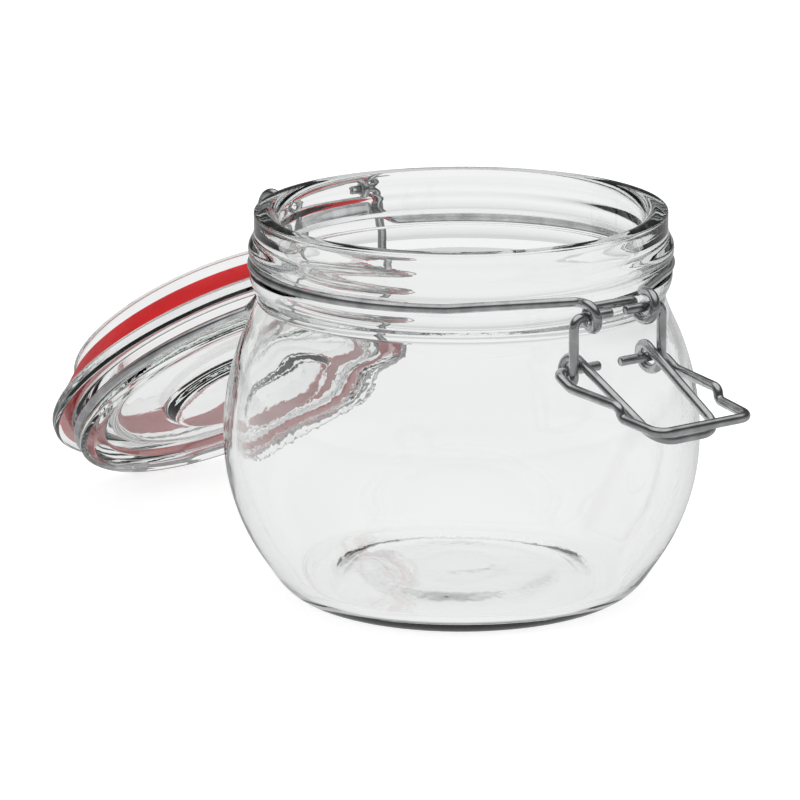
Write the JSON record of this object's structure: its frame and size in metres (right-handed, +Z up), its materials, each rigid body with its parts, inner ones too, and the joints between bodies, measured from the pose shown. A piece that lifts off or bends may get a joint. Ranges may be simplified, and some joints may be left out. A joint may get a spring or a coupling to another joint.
{
  "type": "clip-top jar",
  "caption": "Empty clear glass storage jar with a hinged glass lid swung open on its wire, a red rubber sealing ring and a wire lever clasp hanging from its neck.",
  "frame": {"origin": "on the jar's axis, in the plane of its foot", "axes": "+Z up along the jar's axis, -Y towards the clasp, +Y towards the lid hinge, X parallel to the hinge line"},
  "size_m": [0.1092, 0.2197, 0.0892],
  "materials": {
    "jar_glass": "clear, smooth",
    "lid_glass": "clear, smooth",
    "gasket": "smooth, slightly translucent red",
    "wire": "bright plated steel"
  },
  "bodies": {
    "jar": {"jar_glass": "jar_glass", "neck_wire": "wire"},
    "lid": {"lid_glass": "lid_glass", "gasket": "gasket", "lid_wire": "wire"},
    "lever": {"lever": "wire"},
    "bail": {"bail": "wire"}
  },
  "joints": [
    {"name": "lid_hinge", "type": "hinge", "parent": "jar", "child": "lid", "pos_m": [0, 0.058, 0.0816], "axis": [1, 0, 0], "range_deg": [0, 220]},
    {"name": "lever_pivot", "type": "hinge", "parent": "jar", "child": "lever", "pos_m": [0, -0.0576, 0.0763], "axis": [-1, 0, 0], "range_deg": [0, 70]},
    {"name": "bail_pivot", "type": "hinge", "parent": "lever", "child": "bail", "pos_m": [0, -0.0547, 0.064], "axis": [-1, 0, 0], "range_deg": [0, 60]}
  ]
}
